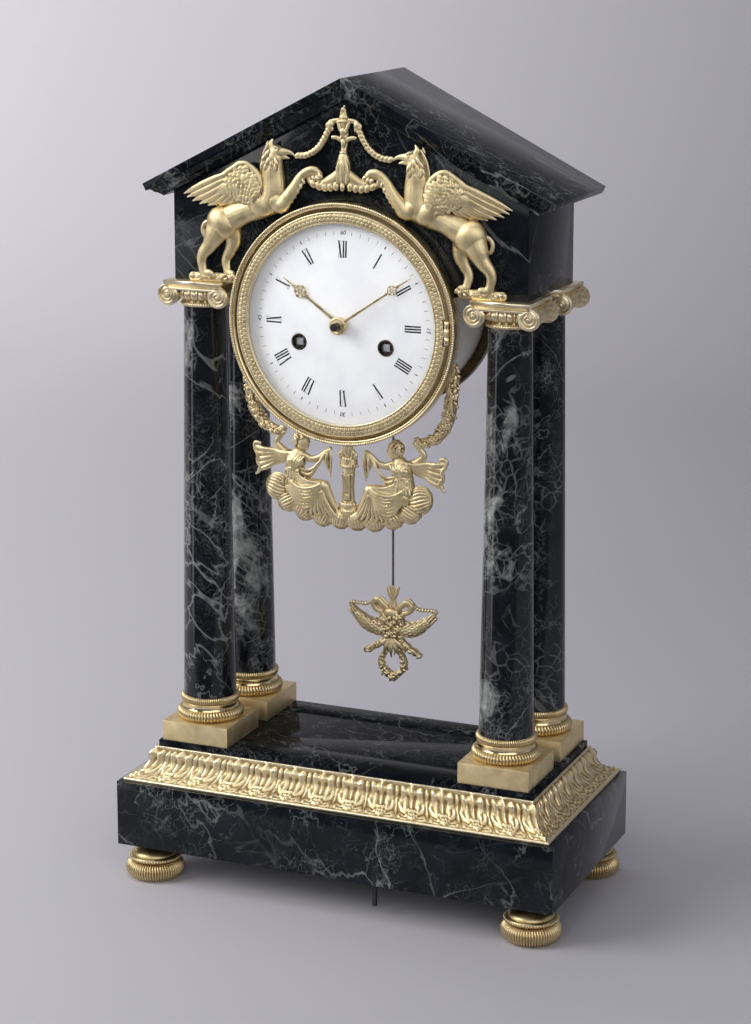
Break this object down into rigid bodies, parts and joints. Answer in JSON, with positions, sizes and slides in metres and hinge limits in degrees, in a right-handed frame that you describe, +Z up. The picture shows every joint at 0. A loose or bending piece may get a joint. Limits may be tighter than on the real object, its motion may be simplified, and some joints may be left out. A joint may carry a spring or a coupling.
{
  "type": "portico clock",
  "caption": "Portico mantel clock: dark marble columns and pediment, gilt griffins and figures, white enamel dial in a drum, and a swinging bouquet pendulum",
  "frame": {"origin": "On the floor under the middle of the four feet", "axes": "+X to the right as seen from the front, -Y out of the dial towards the viewer, +Z up"},
  "size_m": [0.301, 0.1548, 0.5254],
  "materials": {
    "marble": "polished dark green-grey marble with pale veins",
    "gilt": "matt gilded bronze with burnished edges",
    "brass": "polished brass",
    "bronze": "dark patinated bronze",
    "steel": "blued and plain steel",
    "enamel": "white enamel on copper",
    "black": "blackened brass",
    "glass": "clear domed glass"
  },
  "bodies": {
    "case": {"base_block": "marble", "base_platform": "marble", "leaf_frieze": "gilt", "feet": "gilt", "foot_studs": "steel", "plinths": "brass", "column_bases": "gilt", "column_front_left": "marble", "column_front_right": "marble", "column_rear_left": "marble", "column_rear_right": "marble", "capitals": "gilt", "tie_rods": "steel", "pediment_block": "marble", "roof_left": "marble", "roof_right": "marble", "griffin_left": "gilt", "griffin_right": "gilt", "pediment_ornament": "gilt", "figure_group": "gilt", "garlands": "gilt", "drum_case": "brass", "bezel_ring": "gilt", "bezel_hinge_pin": "steel", "dial": "enamel", "winding_collets": "black", "rear_ring": "bronze", "rear_hinge_pin": "steel", "strap_screws": "steel", "front_plate": "brass", "back_plate": "brass", "plate_pillars": "brass", "bell": "bronze", "bell_stand": "steel", "suspension_cock": "brass"},
    "bezel_door": {"bezel_door": "gilt", "dial_glass": "glass"},
    "rear_door": {"rear_door": "brass"},
    "minute": {"minute_hand": "gilt", "cannon_pinion": "brass", "hand_nut": "steel"},
    "hour": {"hour_hand": "gilt", "hour_wheel": "brass"},
    "minute_wheel": {"minute_wheel": "brass"},
    "going_barrel": {"going_barrel": "brass", "going_mainspring": "steel"},
    "going_arbor": {"going_arbor": "steel"},
    "centre_wheel": {"centre_wheel": "brass"},
    "third_wheel": {"third_wheel": "brass"},
    "escape_wheel": {"escape_wheel": "brass"},
    "pallets": {"pallets": "steel"},
    "strike_barrel": {"strike_barrel": "brass", "strike_mainspring": "steel"},
    "strike_arbor": {"strike_arbor": "steel"},
    "pin_wheel": {"pin_wheel": "brass", "count_wheel": "brass"},
    "fly": {"fly": "brass"},
    "hammer": {"hammer": "steel"},
    "pendulum": {"pendulum_rod": "steel", "pendulum_bob": "gilt"}
  },
  "joints": [
    {"name": "bezel_hinge", "type": "hinge", "parent": "case", "child": "bezel_door", "pos_m": [0.0703, -0.0519, 0.375], "axis": [0, 0, 1], "range_deg": [0, 100]},
    {"name": "rear_hinge", "type": "hinge", "parent": "case", "child": "rear_door", "pos_m": [0.062, 0.0536, 0.375], "axis": [0, 0, -1], "range_deg": [0, 100]},
    {"name": "minute_turn", "type": "hinge", "parent": "case", "child": "minute", "pos_m": [0, -0.05, 0.375], "axis": [0, 1, 0], "continuous": true},
    {"name": "minute_wheel_turn", "type": "hinge", "parent": "case", "child": "minute_wheel", "pos_m": [0, -0.04, 0.363], "axis": [0, 1, 0], "continuous": true},
    {"name": "hour_turn", "type": "hinge", "parent": "case", "child": "hour", "pos_m": [0, -0.045, 0.375], "axis": [0, 1, 0], "continuous": true},
    {"name": "third_turn", "type": "hinge", "parent": "case", "child": "third_wheel", "pos_m": [0.01178, -0.02, 0.39091], "axis": [0, 1, 0], "continuous": true},
    {"name": "centre_turn", "type": "hinge", "parent": "case", "child": "centre_wheel", "pos_m": [0, -0.02, 0.375], "axis": [0, 1, 0], "continuous": true},
    {"name": "going_barrel_turn", "type": "hinge", "parent": "case", "child": "going_barrel", "pos_m": [0.029, -0.015, 0.3623], "axis": [0, 1, 0], "continuous": true},
    {"name": "escape_turn", "type": "hinge", "parent": "case", "child": "escape_wheel", "pos_m": [0, -0.02, 0.4015], "axis": [0, 1, 0], "continuous": true},
    {"name": "going_winding", "type": "hinge", "parent": "case", "child": "going_arbor", "pos_m": [0.029, -0.03, 0.3623], "axis": [0, 1, 0], "range_deg": [0, 1800]},
    {"name": "strike_winding", "type": "hinge", "parent": "case", "child": "strike_arbor", "pos_m": [-0.029, -0.03, 0.3623], "axis": [0, 1, 0], "range_deg": [0, 1800]},
    {"name": "pin_turn", "type": "hinge", "parent": "case", "child": "pin_wheel", "pos_m": [-0.02395, -0.02, 0.39093], "axis": [0, 1, 0], "continuous": true},
    {"name": "strike_barrel_turn", "type": "hinge", "parent": "case", "child": "strike_barrel", "pos_m": [-0.029, -0.015, 0.3623], "axis": [0, 1, 0], "continuous": true},
    {"name": "fly_turn", "type": "hinge", "parent": "case", "child": "fly", "pos_m": [-0.02631, -0.02, 0.40433], "axis": [0, 1, 0], "continuous": true},
    {"name": "hammer_swing", "type": "hinge", "parent": "case", "child": "hammer", "pos_m": [-0.042, 0, 0.361], "axis": [0, 1, 0], "range_deg": [-20, 5]},
    {"name": "pendulum_swing", "type": "hinge", "parent": "case", "child": "pendulum", "pos_m": [0, 0.0334, 0.417], "axis": [0, 1, 0], "range_deg": [-5, 5]},
    {"name": "pallet_swing", "type": "hinge", "parent": "case", "child": "pallets", "pos_m": [0, 0, 0.417], "axis": [0, 1, 0], "range_deg": [-5, 5]}
  ],
  "couplings": [
    {"joint": "minute_wheel_turn", "follows": "minute_turn", "ratio": -0.33333},
    {"joint": "hour_turn", "follows": "minute_turn", "ratio": 0.083333},
    {"joint": "centre_turn", "follows": "third_turn", "ratio": -0.1},
    {"joint": "going_barrel_turn", "follows": "third_turn", "ratio": 0.0225},
    {"joint": "escape_turn", "follows": "third_turn", "ratio": -10},
    {"joint": "strike_barrel_turn", "follows": "pin_turn", "ratio": -0.125},
    {"joint": "fly_turn", "follows": "pin_turn", "ratio": -7.5},
    {"joint": "pallet_swing", "follows": "pendulum_swing", "ratio": 1}
  ]
}
